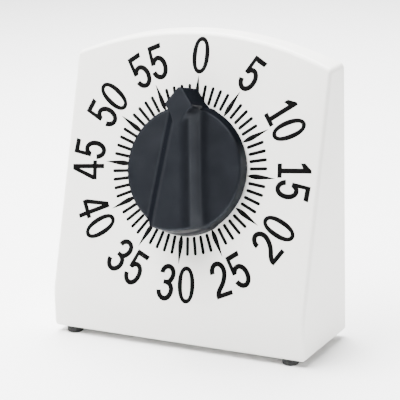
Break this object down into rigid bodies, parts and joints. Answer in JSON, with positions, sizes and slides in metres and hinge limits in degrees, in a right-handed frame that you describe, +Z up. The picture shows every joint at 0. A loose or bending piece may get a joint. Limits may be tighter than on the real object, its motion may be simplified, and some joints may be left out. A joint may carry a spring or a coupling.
{
  "type": "kitchen timer",
  "caption": "Upright wind-up kitchen timer with a sloping arched face, a minute scale and a large pointer knob over a clockwork with a bell",
  "frame": {"origin": "middle of the underside of the whole object's box, at the level of the feet", "axes": "+Z up, -Y towards the person who reads the dial, +X to that person's right"},
  "size_m": [0.178, 0.0734, 0.1944],
  "materials": {
    "case_plastic": "white moulded plastic, satin",
    "knob_plastic": "charcoal moulded plastic, satin gloss",
    "dial_ink": "black pad-printed ink",
    "foot_rubber": "black rubber",
    "steel": "bright steel",
    "spring_steel": "blued spring steel",
    "brass": "stamped and turned brass",
    "bell_plate": "nickel-plated steel"
  },
  "bodies": {
    "root": {"front_case": "case_plastic", "rear_cover": "case_plastic", "foot_front_left": "foot_rubber", "foot_front_right": "foot_rubber", "foot_rear_left": "foot_rubber", "foot_rear_right": "foot_rubber", "cover_screw_low_left": "steel", "cover_screw_low_right": "steel", "cover_screw_high_left": "steel", "cover_screw_high_right": "steel", "shaft_bushing": "brass", "front_plate": "steel", "back_plate": "steel", "plate_pillar_low_left": "brass", "plate_pillar_low_right": "brass", "plate_pillar_high_left": "brass", "plate_pillar_high_right": "brass", "pillar_screw_low_left": "steel", "pillar_screw_low_right": "steel", "pillar_screw_high_left": "steel", "pillar_screw_high_right": "steel", "movement_screw_1": "steel", "movement_screw_2": "steel", "movement_screw_3": "steel", "mainspring": "spring_steel", "bell_gong": "bell_plate", "bell_post": "steel", "bell_screw": "steel", "hammer_spring": "spring_steel"},
    "knob_body": {"knob": "knob_plastic", "hub_clip": "spring_steel", "main_arbor": "steel", "great_wheel": "brass", "clutch_spring": "spring_steel", "trip_cam": "brass"},
    "second_body": {"second_arbor": "steel", "second_wheel": "brass"},
    "third_body": {"third_arbor": "steel", "third_wheel": "brass"},
    "escape_body": {"escape_arbor": "steel", "escape_wheel": "brass"},
    "pallet_body": {"pallet_arbor": "steel", "pallet_lever": "steel", "pallet_weight": "brass"},
    "trip_body": {"trip_arbor": "steel", "trip_lever": "steel"},
    "hammer_body": {"hammer_arbor": "steel", "hammer_arm": "steel", "hammer_finger": "steel", "hammer_head": "brass"}
  },
  "joints": [
    {"name": "knob_turn", "type": "hinge", "parent": "root", "child": "knob_body", "pos_m": [0, -0.00363, 0.11127], "axis": [0, 0.9568, -0.2907], "range_deg": [0, 361]},
    {"name": "second_turn", "type": "hinge", "parent": "root", "child": "second_body", "pos_m": [-0.01973, 0.0029, 0.10178], "axis": [0, 0.9568, -0.2907], "range_deg": [-2166, 0]},
    {"name": "third_turn", "type": "hinge", "parent": "root", "child": "third_body", "pos_m": [-0.01566, -0.00152, 0.08722], "axis": [0, 0.9568, -0.2907], "range_deg": [0, 12996]},
    {"name": "escape_turn", "type": "hinge", "parent": "root", "child": "escape_body", "pos_m": [-0.0032, -0.00184, 0.08618], "axis": [0, 0.9568, -0.2907], "range_deg": [-51984, 0]},
    {"name": "pallet_rock", "type": "hinge", "parent": "root", "child": "pallet_body", "pos_m": [0.00679, -0.00184, 0.08618], "axis": [0, -0.9568, 0.2907], "range_deg": [-3, 3]},
    {"name": "trip_drop", "type": "hinge", "parent": "root", "child": "trip_body", "pos_m": [0.0205, 0.00731, 0.11631], "axis": [0, -0.9568, 0.2907], "range_deg": [0, 5]},
    {"name": "hammer_swing", "type": "hinge", "parent": "root", "child": "hammer_body", "pos_m": [0.022, 0.00266, 0.101], "axis": [0, 0.9568, -0.2907], "range_deg": [-8, 3], "stiffness_Nm_per_rad": 0.003}
  ],
  "couplings": [
    {"joint": "second_turn", "follows": "knob_turn", "ratio": -6},
    {"joint": "third_turn", "follows": "knob_turn", "ratio": 36},
    {"joint": "escape_turn", "follows": "knob_turn", "ratio": -144}
  ]
}
